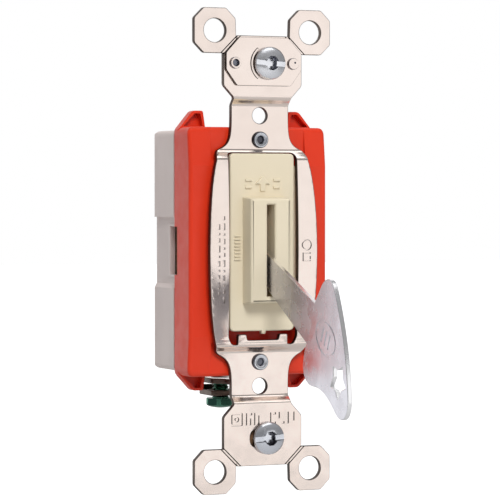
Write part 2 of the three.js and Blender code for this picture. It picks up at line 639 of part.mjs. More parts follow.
// Spring clip plate on the upper panel, with a slot round the mounting screw.
function autoGroundClip() {
  const { back, bottom, top } = CLIP;
  const right = [[5.9, top], [9.1, 43.95], [9.1, 40.2], [6.5, bottom]];
  const left = right.map(([x, z]) => [-x, z]).reverse();
  const plate = extruded(polygon([...right, ...left]), 'y', CLIP_FRONT, back);
  const slot = extruded(roundRect(-3.1, 3.2, MOUNT_Z - 2, MOUNT_Z + 2, 1), 'y', -4, 0);
  const slits = both.map((end) => {
    const centre = MOUNT_Z + end * 3.2;
    return box(-2.75, -2.25, -4, 0, centre - 1.3, centre + 1.3);
  });
  const holes = both.map((side) => rod('y', side * STAKE.x, MOUNT_Z, STAKE.radius + GAP, -4, 0, 6));
  return cut(plate, slot, ...slits, ...holes);
}

function buildClip() {
  piece('auto_ground_clip', autoGroundClip(), NICKEL);
  const face = CLIP_FRONT - GAP;
  const profile = [
    [0, -0.2], [STAKE.radius, -0.2], [STAKE.radius, face], [STAKE.head, face],
    [1.2, face - 0.35], [0.6, face - 0.35], [0, face + 0.2],
  ];
  for (const [name, side] of [['left', -1], ['right', 1]]) {
    piece(`${name}_clip_stake`, turned(profile, 16), NICKEL).position.set(side * STAKE.x, 0, MOUNT_Z);
  }
}

function buildInsides() {
  piece('rocker_pin', rod('x', ROCKER_Y, 0, PIN_RADIUS, -4.6, 4.6, 6), STEEL);
  piece('fixed_contact', rod('y', 0, CONTACT_Z, 1.6, 19.5, 20.3, 8), SILVER);
  piece('side_insulator', box(-14.4, -13.6, 4.5, CAVITY_BACK - GAP, -9.5, 9.5), FIBRE);
  for (const [name, end] of [['upper', 1], ['lower', -1]]) {
    piece(`${name}_bumper`, box(-6.6, 6.6, 9.6, 12.4, end * 6.7 - 0.7, end * 6.7 + 0.7), RUBBER);
  }
}

piece('strap', strap(), NICKEL);
piece('key_slot_cover', keySlotCover(), IVORY);
piece('front_frame', frontFrame(), RED);
piece('rear_body', rearBody(), GREY);
piece('line_terminal', lineTerminal(), BRASS);
piece('load_terminal', loadTerminal(), BRASS);
buildToggle();
buildRocker();
buildTerminals();
buildGround();
buildMountingScrews();
buildRivets();
buildClip();
buildInsides();

export default group;
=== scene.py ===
import json
import math

import bmesh
import bpy
from mathutils import Matrix, Vector
from mathutils.geometry import tessellate_polygon


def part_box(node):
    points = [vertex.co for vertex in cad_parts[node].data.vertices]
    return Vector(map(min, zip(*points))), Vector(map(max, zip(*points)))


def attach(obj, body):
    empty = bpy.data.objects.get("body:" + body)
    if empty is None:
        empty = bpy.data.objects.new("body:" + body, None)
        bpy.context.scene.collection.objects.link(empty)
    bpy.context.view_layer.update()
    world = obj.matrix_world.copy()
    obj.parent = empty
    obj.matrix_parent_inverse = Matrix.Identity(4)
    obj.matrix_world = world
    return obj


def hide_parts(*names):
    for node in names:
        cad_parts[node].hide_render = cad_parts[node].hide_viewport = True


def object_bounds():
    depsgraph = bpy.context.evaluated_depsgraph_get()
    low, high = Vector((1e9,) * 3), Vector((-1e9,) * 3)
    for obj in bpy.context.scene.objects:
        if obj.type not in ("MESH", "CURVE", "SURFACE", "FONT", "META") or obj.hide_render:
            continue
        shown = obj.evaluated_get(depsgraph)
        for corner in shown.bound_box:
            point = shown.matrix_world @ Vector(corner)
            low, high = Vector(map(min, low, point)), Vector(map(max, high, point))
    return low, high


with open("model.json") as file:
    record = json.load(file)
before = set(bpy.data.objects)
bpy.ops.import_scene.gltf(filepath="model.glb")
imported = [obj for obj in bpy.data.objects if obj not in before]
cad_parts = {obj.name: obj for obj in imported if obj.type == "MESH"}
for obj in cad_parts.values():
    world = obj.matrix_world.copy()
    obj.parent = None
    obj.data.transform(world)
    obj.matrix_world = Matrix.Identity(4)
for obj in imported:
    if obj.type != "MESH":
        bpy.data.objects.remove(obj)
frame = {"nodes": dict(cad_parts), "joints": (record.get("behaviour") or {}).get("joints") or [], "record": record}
cad_low, cad_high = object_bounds()

MM = 0.001  # shapes are made in millimetres and scaled to metres when they are finished
SIDES = (-1, 1)
FAR = 80.0  # reaches past the edge of any screw head


def span(node):
    """Lowest and highest corner of a CAD node, in millimetres."""
    low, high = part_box(node)
    return low / MM, high / MM


# Driving dimensions, read from the frame
strap_high = span("strap")[1]
cover_low, cover_high = span("key_slot_cover")
frame_high = span("front_frame")[1]
body_low, body_high = span("rear_body")
clip_low, clip_high = span("auto_ground_clip")
joints = {j["name"]: j for j in frame["joints"]}

SHEET = 1.3
EAR_FRONT = -SHEET
SHOULDER_DROP = 1.65
SHOULDER_FRONT = EAR_FRONT + SHOULDER_DROP
MOUNT_Z = joints["upper_mounting_screw_turn"]["pos_m"][2] / MM
MOUNT_X = joints["upper_mounting_screw_turn"]["pos_m"][0] / MM
PIVOT_Y = joints["toggle_throw"]["pos_m"][1] / MM
KEY_TILT = math.atan2(joints["key_pull"]["axis"][2], joints["key_pull"]["axis"][1]) + math.pi
KEY_X = sum(c[0] for c in span("key")) / 2
KEY_THICKNESS = span("key")[1][0] - span("key")[0][0]
RIVET_Z = sum(c[2] for c in span("upper_rivet")) / 2
PLATE_HOLE_Z = 30.16
EAR_X, EAR_Z = 11.54, 48.8  # middles of the ears' holes
STAKE_X = 7.0
PITCH = 0.794  # 32 threads to the inch
WIRE_Z, WIRE_SPREAD = 13.2, 2.8  # middle of each pair of wire holes, and half the way between the two


# Outlines: lists of points in two of the axes

def arc(cx, cy, radius, start, end, steps):
    """Points along an arc, between two angles in degrees."""
    angles = [math.radians(start + (end - start) * i / steps) for i in range(steps + 1)]
    return [(cx + radius * math.cos(a), cy + radius * math.sin(a)) for a in angles]


def circle(cx, cy, radius, steps=48):
    return arc(cx, cy, radius, 0, 360, steps)[:-1]


def rounded(corners, steps=5):
    """A closed outline from (x, y, cut) corners, where cut is how far back a corner's curve begins."""
    points = []
    for i, (x, y, cut) in enumerate(corners):
        here = Vector((x, y))
        ends = []
        for other in (corners[i - 1], corners[(i + 1) % len(corners)]):
            way = Vector(other[:2]) - here
            ends.append(here + way.normalized() * min(cut, way.length * 0.49))
        if cut == 0:
            points.append((x, y))
            continue
        for k in range(steps + 1):
            t = k / steps
            points.append(tuple(ends[0] * (1 - t) ** 2 + here * (2 * t * (1 - t)) + ends[1] * t ** 2))
    return points


def rectangle(x0, x1, y0, y1, cut=0.0, steps=5):
    return rounded([(x0, y0, cut), (x1, y0, cut), (x1, y1, cut), (x0, y1, cut)], steps)


def curve(p0, p1, p2, p3, steps):
    """Points of a cubic curve, without its first point."""
    points = []
    for k in range(1, steps + 1):
        t = k / steps
        weights = ((1 - t) ** 3, 3 * t * (1 - t) ** 2, 3 * t * t * (1 - t), t ** 3)
        points.append(tuple(sum(w * p[i] for w, p in zip(weights, (p0, p1, p2, p3))) for i in (0, 1)))
    return points


def area(loop):
    """The loop's area, which is negative where it runs clockwise."""
    return sum(a[0] * b[1] - b[0] * a[1] for a, b in zip(loop, loop[1:] + loop[:1])) / 2


# Solids. Every mesh has two material places: one for its faces and one for its cut or sheared edges, whose
# material paints shade on them (on the key, a painted highlight).

FACE, EDGE = 0, 1
BASES = {  # turn an outline's two axes and its height into X, Y and Z, for a sheet across each axis
    "x": Matrix(((0, 0, 1), (1, 0, 0), (0, 1, 0))),
    "y": Matrix(((1, 0, 0), (0, 0, 1), (0, 1, 0))),
    "z": Matrix(((1, 0, 0), (0, 1, 0), (0, 0, 1))),
}


def linked(name, mesh):
    obj = bpy.data.objects.new(name, mesh)
    bpy.context.scene.collection.objects.link(obj)
    return obj


def from_bmesh(name, bm):
    bmesh.ops.recalc_face_normals(bm, faces=bm.faces)
    mesh = bpy.data.meshes.new(name)
    bm.to_mesh(mesh)
    bm.free()
    for _ in (FACE, EDGE):
        mesh.materials.append(None)
    return linked(name, mesh)


def inset(loop, amount):
    """The loop moved into the material by amount, square to its own line at each corner."""
    points = [Vector(p) for p in loop]
    moved = []
    for i, here in enumerate(points):
        before = (here - points[i - 1]).normalized()
        after = (points[(i + 1) % len(points)] - here).normalized()
        normal = Vector((-before.y - after.y, before.x + after.x)).normalized()
        moved.append(here + normal * amount / max(0.35, normal.dot(Vector((-after.y, after.x)))))
    return moved


def plate(loops, axis, low, high, edge=0.15, steps=3):
    """A sheet with the first loop as its outline and the others as holes, with rounded edges."""
    ordered = [loop if (area(loop) > 0) == (i == 0) else loop[::-1] for i, loop in enumerate(loops)]
    rings = []
    for k in range(steps + 1):
        angle = math.pi / 2 * k / steps
        rings.append((edge * (1 - math.sin(angle)), low + edge * (1 - math.cos(angle))))
    rings += [(offset, low + high - height) for offset, height in reversed(rings)]
    bm = bmesh.new()
    basis = BASES[axis]
    caps = ([], [])
    for loop in ordered:
        rows = []
        for offset, height in rings:
            flat = inset(loop, offset)
            rows.append([bm.verts.new(basis @ Vector((p.x, p.y, height))) for p in flat])
        for k, (lower, upper) in enumerate(zip(rows, rows[1:])):
            for i in range(len(loop)):
                face = bm.faces.new((lower[i - 1], lower[i], upper[i], upper[i - 1]))
                # the rounded rims and side walls take the edge material, which paints shade (on the key, a painted
                # highlight)
                face.material_index = EDGE if 0 < k < 2 * steps else FACE
        caps[0].append(rows[0])
        caps[1].append(rows[-1])
    for cap, offset in ((caps[0], rings[0][0]), (caps[1], rings[-1][0])):
        flat = [[Vector((p.x, p.y, 0)) for p in inset(loop, offset)] for loop in ordered]
        verts = [v for row in cap for v in row]
        for triangle in tessellate_polygon(flat):
            bm.faces.new([verts[i] for i in triangle])
    return from_bmesh("plate", bm)


def block(x0, x1, y0, y1, z0, z1, edge=0.15, cut=0.0, axis="y"):
    """A box. Its edges along the axis are rounded back by cut, and the others by edge."""
    if axis == "x":
        return plate([rectangle(y0, y1, z0, z1, cut)], "x", x0, x1, edge)
    return plate([rectangle(x0, x1, z0, z1, cut)], "y", y0, y1, edge)


def turned(rows, segments, pitch=0.0, depth=0.0, thread=(0.0, 0.0)):
    """Rows of (radius, height) turned about +Y. The thread is a helix between its two heights."""
    bm = bmesh.new()
    closed = rows[0] == rows[-1]
    rings = []
    for radius, height in rows[:-1] if closed else rows:
        if radius == 0:
            rings.append([bm.verts.new((0, height, 0))])
            continue
        ring = []
        for i in range(segments):
            share = i / segments
            grown = radius
            if pitch and thread[0] <= height <= thread[1]:
                phase = (height / pitch - share) % 1
                fade = min(1, (height - thread[0]) / pitch, (thread[1] - height) / pitch)
                grown += depth * fade * (2 * abs(2 * phase - 1) - 1) / 2
            angle = 2 * math.pi * share
            ring.append(bm.verts.new((grown * math.cos(angle), height, grown * math.sin(angle))))
        rings.append(ring)
    pairs = list(zip(rings, rings[1:])) + ([(rings[-1], rings[0])] if closed else [])
    for lower, upper in pairs:
        for i in range(segments):
            quad = [lower[i - 1 if len(lower) > 1 else 0], lower[i if len(lower) > 1 else 0]]
            quad += [upper[i if len(upper) > 1 else 0], upper[i - 1 if len(upper) > 1 else 0]]
            bm.faces.new(list(dict.fromkeys(quad)))
    return from_bmesh("turned", bm)


def placed(obj, matrix):
    obj.data.transform(matrix)
    if matrix.determinant() < 0:
        obj.data.flip_normals()
    return obj


def moved(obj, x=0.0, y=0.0, z=0.0):
    return placed(obj, Matrix.Translation((x, y, z)))


def copy_of_node(node):
    """The CAD node's solid as a new object in millimetres, with its flat faces made whole again."""
    bm = bmesh.new()
    bm.from_mesh(frame["nodes"][node].data)
    bmesh.ops.remove_doubles(bm, verts=bm.verts, dist=1e-7)
    bmesh.ops.scale(bm, verts=bm.verts, vec=(1 / MM,) * 3)
    return from_bmesh(node + "_copy", bm)


def baked(obj):
    """Applies the object's modifiers."""
    shape = bpy.data.meshes.new_from_object(obj.evaluated_get(bpy.context.evaluated_depsgraph_get()))
    old = obj.data
    obj.modifiers.clear()
    obj.data = shape
    bpy.data.meshes.remove(old)
    return obj


def combined(obj, operation, *tools):
    for tool in tools:
        modifier = obj.modifiers.new(operation, "BOOLEAN")
        modifier.operation = operation
        modifier.solver = "EXACT"
        modifier.object = tool
        baked(obj)
        bpy.data.objects.remove(tool)
    return obj


def cut(obj, *tools):
    return combined(obj, "DIFFERENCE", *tools)


def united(obj, *tools):
    return combined(obj, "UNION", *tools)


def loose(objects):
    """Several solids that don't touch, as one object, for use as one tool."""
    bm = bmesh.new()
    for obj in objects:
        bm.from_mesh(obj.data)
        bpy.data.objects.remove(obj)
    return from_bmesh("loose", bm)


def sliced(obj, axis, places):
    """Adds lines across the mesh at these places along an axis, so that it can bend there."""
    bm = bmesh.new()
    bm.from_mesh(obj.data)
    normal = Vector([float(a == axis) for a in "xyz"])
    for place in places:
        geometry = bm.verts[:] + bm.edges[:] + bm.faces[:]
        bmesh.ops.bisect_plane(bm, geom=geometry, dist=1e-5, plane_co=normal * place, plane_no=normal)
    bm.to_mesh(obj.data)
    bm.free()
    return obj


def shaped(obj, rule):
    """Moves every vertex by rule(x, y, z), which returns its new place."""
    for vertex in obj.data.vertices:
        vertex.co = rule(*vertex.co)
    return obj


def paint_shade(obj, rule):
    """Paints shade: gives the edge material, a dark painted shade, to the faces whose centre passes rule(x, y, z).
    """
    for face in obj.data.polygons:
        if rule(*face.center):
            face.material_index = EDGE
    return obj


def piece(obj, name, node, body, edge=None, smooth=40):
    """Scales a finished solid to metres, shades it, and fixes it to its CAD body and material slot."""
    obj.name = name
    obj.data.name = name
    bm = bmesh.new()
    bm.from_mesh(obj.data)
    bmesh.ops.remove_doubles(bm, verts=bm.verts, dist=2e-4)
    bmesh.ops.dissolve_degenerate(bm, edges=bm.edges, dist=2e-4)
    for face in bm.faces:
        face.smooth = max(abs(c) for c in face.normal) < 0.99999
        face.material_index = face.material_index if edge else FACE
    for line in bm.edges:
        line.smooth = len(line.link_faces) == 2 and line.calc_face_angle(0) < math.radians(smooth)
    bm.to_mesh(obj.data)
    bm.free()
    obj.data.transform(Matrix.Scale(MM, 4))
    indices = [face.material_index for face in obj.data.polygons]
    obj.data.materials.clear()
    for finish in [finish_of(node)] + ([FINISHES[edge]] if edge else []):
        obj.data.materials.append(finish)
    obj.data.polygons.foreach_set("material_index", indices)
    weighted = obj.modifiers.new("normals", "WEIGHTED_NORMAL")
    weighted.keep_sharp = True
    weighted.weight = 60
    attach(obj, body)
    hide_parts(node)
    return obj


SLOTS = {row["node"]: row["material_slot"] for row in frame["record"]["subparts"]}


# Materials

def node_material(name, metallic=0.0, roughness=0.4):
    """A new material and its shader."""
    material = bpy.data.materials.new(name)
    material.use_nodes = True
    shader = material.node_tree.nodes["Principled BSDF"]
    shader.inputs["Metallic"].default_value = metallic
    shader.inputs["Roughness"].default_value = roughness
    return material, shader


def noise(material, scale, detail, stretch=(1, 1, 1)):
    """Noise in object space, in units of a metre."""
    nodes, links = material.node_tree.nodes, material.node_tree.links
    place = nodes.new("ShaderNodeTexCoord")
    mapping = nodes.new("ShaderNodeMapping")
    mapping.inputs["Scale"].default_value = stretch
    texture = nodes.new("ShaderNodeTexNoise")
    texture.inputs["Scale"].default_value = scale
    texture.inputs["Detail"].default_value = detail
    links.new(place.outputs["Object"], mapping.inputs["Vector"])
    links.new(mapping.outputs["Vector"], texture.inputs["Vector"])
    return texture.outputs["Fac"]


def ramp(material, factor, stops):
    """A colour ramp through (position, colour or value) stops."""
    node = material.node_tree.nodes.new("ShaderNodeValToRGB")
    elements = node.color_ramp.elements
    while len(elements) < len(stops):
        elements.new(0.5)
    for element, (position, value) in zip(elements, stops):
        element.position = position
        element.color = (*value, 1) if isinstance(value, tuple) else (value, value, value, 1)
    material.node_tree.links.new(factor, node.inputs["Fac"])
    return node.outputs["Color"]


def bump(material, shader, heights):
    """Bumps from (height output, strength, distance in metres), one on top of another."""
    nodes, links = material.node_tree.nodes, material.node_tree.links
    normal = None
    for height, strength, distance in heights:
        node = nodes.new("ShaderNodeBump")
        node.inputs["Strength"].default_value = strength
        node.inputs["Distance"].default_value = distance
        links.new(height, node.inputs["Height"])
        if normal is not None:
            links.new(normal, node.inputs["Normal"])
        normal = node.outputs["Normal"]
    links.new(normal, shader.inputs["Normal"])


def metal(name, light, dark, rough, grain=(1, 1, 1), grain_strength=0.08):
    """Plated or bare metal: slow tone changes, smudged gloss and fine rolling lines along the grain."""
    material, shader = node_material(name, metallic=1.0)
    link = material.node_tree.links.new
    tone = noise(material, 55, 4)
    smudge = noise(material, 240, 5)
    lines = noise(material, 900, 2, grain)
    link(ramp(material, tone, [(0.35, dark), (0.65, light)]), shader.inputs["Base Color"])
    link(ramp(material, smudge, [(0.3, rough[0]), (0.7, rough[1])]), shader.inputs["Roughness"])
    bump(material, shader, [(lines, grain_strength, 2e-5), (tone, 0.25, 2e-4)])
    return material


def plastic(name, light, dark, rough, texture, gloss_level=0.5):
    """Moulded plastic: faint flow mottling, fine spark-eroded texture and uneven gloss."""
    material, shader = node_material(name)
    shader.inputs["Specular IOR Level"].default_value = gloss_level
    link = material.node_tree.links.new
    flow = noise(material, 70, 3, (1, 1, 0.35))
    grain = noise(material, 4200, 2)
    gloss = noise(material, 380, 3)
    link(ramp(material, flow, [(0.3, dark), (0.7, light)]), shader.inputs["Base Color"])
    link(ramp(material, gloss, [(0.3, rough[0]), (0.7, rough[1])]), shader.inputs["Roughness"])
    bump(material, shader, [(grain, texture, 4e-5), (flow, 0.1, 2e-4)])
    return material


def fibre_board(name):
    material, shader = node_material(name, roughness=0.85)
    strands = noise(material, 900, 6, (1, 0.15, 1))
    colours = [(0.3, (0.16, 0.085, 0.045)), (0.7, (0.36, 0.21, 0.12))]
    material.node_tree.links.new(ramp(material, strands, colours), shader.inputs["Base Color"])
    bump(material, shader, [(strands, 0.4, 5e-5)])
    return material


LONG = (1, 1, 0.04)  # grain that runs along Z
ALONG_KEY = (1, 0.05, 1)  # grain that runs along Y
FINISHES = {
    "nickel_plate": metal("nickel_plate", (0.91, 0.80, 0.74), (0.85, 0.735, 0.67), (0.1, 0.22), LONG),
    # dark metal for sheared edges, rims and groove walls: partly bare sheared steel, partly painted shade
    "sheared_edge_and_shade": metal("sheared_edge_and_shade", (0.13, 0.1, 0.085), (0.05, 0.038, 0.032), (0.35, 0.55)),
    # painted shade: dark metal for screw slots and cross recesses, rivet bores and stake holes
    "recess": metal("recess", (0.3, 0.31, 0.36), (0.09, 0.09, 0.11), (0.3, 0.5)),
    "green_shade": metal("green_shade", (0.03, 0.09, 0.07), (0.015, 0.05, 0.035), (0.35, 0.5)),
    "bright_zinc": metal(
        "bright_zinc", (0.92, 0.93, 0.97), (0.7, 0.72, 0.78), (0.18, 0.36), grain_strength=0.2,
    ),
    "key_steel": metal(
        "key_steel", (0.64, 0.635, 0.685), (0.54, 0.535, 0.58), (0.2, 0.34), ALONG_KEY, 0.15,
    ),
    # painted highlight: a brighter copy of the key steel for the key's rims
    "key_edge_highlight": metal("key_edge_highlight", (0.97, 0.97, 0.98), (0.9, 0.9, 0.92), (0.18, 0.3), ALONG_KEY),
    "brass": metal("brass", (0.86, 0.66, 0.34), (0.7, 0.5, 0.24), (0.2, 0.35)),
    "silver_contact": metal("silver_contact", (0.9, 0.9, 0.9), (0.75, 0.75, 0.74), (0.2, 0.35)),
    "green_screw": metal("green_screw", (0.07, 0.2, 0.14), (0.025, 0.09, 0.065), (0.18, 0.34)),
    "ivory_plastic": plastic("ivory_plastic", (0.76, 0.675, 0.51), (0.72, 0.63, 0.465), (0.28, 0.42), 0.12),
    "red_plastic": plastic("red_plastic", (0.75, 0.044, 0.014), (0.66, 0.036, 0.011), (0.3, 0.45), 0.15, 0.3),
    "grey_plastic": plastic("grey_plastic", (0.76, 0.665, 0.635), (0.68, 0.59, 0.565), (0.5, 0.65), 0.3),
    "dark_plastic": plastic("dark_plastic", (0.06, 0.045, 0.04), (0.035, 0.03, 0.028), (0.4, 0.55), 0.2),
    "rubber": plastic("rubber", (0.04, 0.04, 0.042), (0.02, 0.02, 0.022), (0.7, 0.9), 0.4),
    "fibre": fibre_board("fibre"),
}


def finish_of(node):
    return FINISHES[SLOTS[node]]


# Strap

def fold(z, start, end):
    """0 above start, 1 below end, with a smooth bend between."""
    share = min(1, max(0, (start - z) / (start - end)))
    return share * share * (3 - 2 * share)


def sheet_offset(z):
    """How far back the sheet lies at this height: the shoulders' drop less the rails' bow."""
    rail_half, rail_bow = 20.5, 0.75
    middle = 1 - fold(z, 22.7, 20.3) + fold(z, -20.7, -22.7)
    ends = fold(z, 34.35, 32.1) - fold(z, -32.0, -33.95)
    bow = max(0, 1 - (z / rail_half) ** 2) * rail_bow
    return SHOULDER_DROP * min(middle, ends) - bow


def strap_outline():
    """Ears with cut corners at both ends, narrow necks, and rails that bulge outwards."""
    half_width, half_height, corner, curl = 4.98, strap_high.z - EAR_Z, 2.3, 0.4
    inner, outer = EAR_X - half_width, EAR_X + half_width
    low, high = EAR_Z - half_height, EAR_Z + half_height
    neck, neck_end, rail = 6.95, 30, 11.2
    right = rounded([
        (0.01, 47.8, 0), (6.1, 47.8, 0.15), (6.44, 47.3, 0),
        (inner, high - corner, curl), (inner + corner, high, curl),
        (outer - corner, high, curl), (outer, high - corner, curl),
        (outer, low + corner, curl), (outer - corner, low, curl),
        (9.5, low, 0), (9.5, 36.75, 0.5), (neck, 34.0, 0.5), (neck, neck_end, 0),
    ])[1:]
    right += curve((neck, neck_end), (neck, 24.6), (7.4, 23.7), (10.1, 22.5), 12)
    right += curve((10.1, 22.5), (10.7, 22.2), (11.0, 21.2), (rail, 20.0), 6)
    right += curve((rail, 20.0), (13.7, 12), (13.7, -12), (rail, -21.0), 40)
    right += curve((rail, -21.0), (10.9, -22.0), (10.6, -22.5), (10.0, -22.9), 6)
    right += curve((10.0, -22.9), (7.4, -24.2), (neck, -25.4), (neck, -neck_end), 12)
    lower = [(x, -z) for x, z in reversed(right) if z > neck_end]
    half = right + lower
    return half + [(-x, z) for x, z in reversed(half)]


def window_outline():
    """The opening for the cover, with two small tabs and a raised middle on its lower edge."""
    half, low, high = 8.3, -20.8, 21.9
    tab, rise, centre = 0.95, 2.3, 5.0
    points = [(half, low + 1.6, 0.8), (half - 0.9, low, 0.6)]
    points += [(centre + tab + 0.1, low, 0.35), (centre + tab, low + rise, 0.3)]
    points += [(centre - tab, low + rise, 0.3), (centre - tab - 0.3, low + 1.0, 0.4)]
    left = [(-x, z, r) for x, z, r in reversed(points)]
    return rounded([(-half, high, 1.2), (half, high, 1.2), *points, *left][::-1])


STAMPED = ("y", EAR_FRONT - 1, EAR_FRONT + 0.3, 0.04)  # axis, front, depth and edge of a stamping tool


def stamp(x0, x1, z0, z1):
    return plate([rectangle(x0, x1, z0, z1)], *STAMPED)


def ring_stamp(x, z, radius):
    width = 0.3
    return plate([circle(x, z, radius, 32), circle(x, z, radius - width, 32)], *STAMPED)


def tick_marks():
    """Generic stamped strokes, rings and a box, on the rails and the lower panel."""
    tools = []
    lengths, gap, half_stroke = (0.5, 1.5, 0.9, 0.5, 1.2), 0.7, 0.3
    for column, (x, low, high) in enumerate(((-10.9, -9.5, 5.0), (-9.7, -11.5, 8.5))):
        z = low
        index = 0
        while z < high:
            length = lengths[(index + column) % len(lengths)]
            tools.append(stamp(x - half_stroke, x + half_stroke, z, z + length))
            z += length + gap
            index += 1
    tools += [ring_stamp(10.4, 1.3, 1.25)]
    tools += [stamp(9.75, 11.4, -0.65, -0.4), stamp(9.4, 9.65, -2.35, -0.4)]
    tools += [stamp(9.75, 11.4, -2.35, -2.1), stamp(11.15, 11.4, -1.9, -1.2)]
    box_mark = [rectangle(-7.8, -4.9, -38.8, -35.9, 0.3), rectangle(-7.4, -5.3, -38.4, -36.3, 0.2)]
    tools.append(plate(box_mark, *STAMPED))
    stroke, top, low = 0.45, -36.0, -38.7
    for x, end in ((-4.3, top), (-3.3, -37.2), (-2.3, top), (-1.3, -36.6)):
        tools.append(stamp(x, x + stroke, low, end))
    tools += [stamp(-3.2, -2.6, -36.5, top), ring_stamp(-6.35, -37.35, 0.6)]
    for x, end in ((1.6, -38.6), (3.7, -37.4), (5.9, -38.6), (7.3, -38.0)):
        tools.append(stamp(x, x + stroke, end, top))
    tools += [stamp(2.5, 3.2, -36.5, top), stamp(2.5, 3.2, -38.6, -38.1), stamp(4.6, 5.3, -38.6, -38.1)]
    return loose(tools)


def score_grooves():
    """Two V grooves across the root of each ear, where it is made to break off."""
    above, bottom, half_width, half_length = EAR_FRONT - 0.3, EAR_FRONT + 0.42, 0.2, 3.4
    root_x, root_z = 7.95, 45.6
    tools = []
    for side in SIDES:
        for end in SIDES:
            for across in (-0.3, 0.3):
                outline = [(across - half_width, above), (across + half_width, above), (across, bottom)]
                groove = plate([outline], "z", -half_length, half_length, 0.02, 1)
                turn = Matrix.Rotation(math.radians(-45 * side * end), 4, "Y")
                tools.append(placed(groove, Matrix.Translation((side * root_x, 0, end * root_z)) @ turn))
    return loose(tools)


def ground_tab():
    """The tab that runs back from the strap's lower shoulder, with the grounding screw's hole."""
    low, high = -29.8, -28.6
    right, root, end = -2.2, 0.9, 13.4
    corners = [(-6.9, root, 0), (right, root, 0), (right, end, 0.8)]
    corners += [(-9.0, end, 0.8), (-9.0, 6.4, 1.0), (-6.9, 4.3, 1.0)]
    return plate([rounded(corners), circle(-5.4, 10.0, 2.2)], "z", low, high, 0.15)


def make_strap():
    holes = [circle(side * EAR_X, end * EAR_Z, 2.65) for side in SIDES for end in SIDES]
    for end in SIDES:
        holes.append(circle(0, end * PLATE_HOLE_Z, 1.8))
        holes.append(circle(0, end * RIVET_Z, 1.5, 32))
        holes.append(circle(end * STAKE_X, MOUNT_Z, 1.1, 24))
        holes.append(rectangle(-3.1, 3.1, end * MOUNT_Z - 2, end * MOUNT_Z + 2, 1.9))
    sheet = plate([strap_outline(), window_outline(), *holes], "y", EAR_FRONT, 0, 0.16)
    cut(sheet, score_grooves(), tick_marks())
    joggles = [z for centre in (33.2, 21.5, -21.7, -33.0) for z in (centre + 0.17 * i for i in range(-8, 9))]
    rails = [1.6 * i for i in range(-12, 13)]
    sliced(sheet, "z", joggles + rails)
    shaped(sheet, lambda x, y, z: (x, y + sheet_offset(z), z))
    # the sheet's rims, hole walls, grooves and stamped marks get the dark edge metal, partly painted shade
    return piece(united(sheet, ground_tab()), "strap_sheet", "strap", "housing", "sheared_edge_and_shade", 32)


# Key slot cover

def make_cover():
    """A plate with a flange behind it, a raised slotted block, ribs, and an arrow between bars."""
    front, half, top, bottom = -1.0, 7.8, 21.7, -17.8
    slot_half, slot_low, slot_high = 0.92, -10.0, 10.3
    left, right, block_low, block_high = -4.5, 5.1, -11.4, 11.7
    block_front = cover_low.y
    margin, draft_width = 1, 0.3
    nib = [(-0.15, bottom, 0.1), (-0.05, bottom - 0.7, 0.25), (0.85, bottom - 0.7, 0.25), (0.95, bottom, 0.1)]
    corners = [(half, bottom, 1.2), (half, top, 1.2), (-half, top, 1.2), (-half, bottom, 1.2), *nib]
    slot_hole = rectangle(KEY_X - 2, KEY_X + 2, slot_low - 0.4, slot_high + 0.4)
    base = plate([rounded(corners), slot_hole], "y", front, 0.6, 0.35, 4)
    flange = block(cover_low.x, cover_high.x, 0.3, cover_high.y, -17.0, 19.0, 0.1, 1.0)
    room = block(-6.6, 6.6, 0.55, 3, -6, 6, 0)
    through = plate([slot_hole], "y", 0.1, 3, 0)
    cut(flange, room, through)
    slot = rectangle(KEY_X - slot_half, KEY_X + slot_half, slot_low, slot_high, 0.12, 3)
    block_outline = rectangle(left, right, block_low, block_high, 0.35)
    raised = plate([block_outline, slot], "y", block_front, 0.5, 0.55, 6)
    depth = front - block_front

    def draft(x, y, z):
        share = min(1.0, max(0.0, (y - block_front) / depth))
        if x < left + margin or x > right - margin:
            x += math.copysign(draft_width * share, x)
        if z > block_high - margin:
            z += draft_width * share
        elif z < block_low + margin:
            z -= draft_width * share
        return x, y, z

    shaped(sliced(raised, "y", [front]), draft)
    arrow = [(0, 16.75), (-1.75, 14.9), (-0.6, 14.9), (-0.6, 13.3), (0.6, 13.3), (0.6, 14.9), (1.75, 14.9)]
    proud, root = front - 0.35, front + 0.2
    marks = [plate([rounded([(x, z, 0.12) for x, z in arrow], 2)], "y", proud, root, 0.1)]
    for x in (side * 3.4 for side in SIDES):
        for z in (14.2, 15.8):
            marks.append(block(x - 0.8, x + 0.8, proud, root, z - 0.28, z + 0.28, 0.1, 0.15))
    rib_low, rib_pitch, rib_count = -1.9, 0.75, 8
    for z in (rib_low + rib_pitch * i for i in range(rib_count)):
        marks.append(block(-6.8, -5.4, front - 0.25, root, z - 0.16, z + 0.16, 0.08, 0.05))
    united(base, raised, flange, loose(marks))
    return piece(base, "key_slot_cover_moulding", "key_slot_cover", "housing", smooth=32)


# Housing halves: a skin with rounded edges, common to the CAD solid, which gives the inside

INSIDE = 0.01  # how far a skin stays within its CAD solid, so that no two faces lie in one plane


def skin_outline(half, z_half, cut_back, steps):
    x, z = half - INSIDE, z_half - INSIDE
    return rectangle(-half + INSIDE, x, -z_half + INSIDE, z, cut_back, steps)


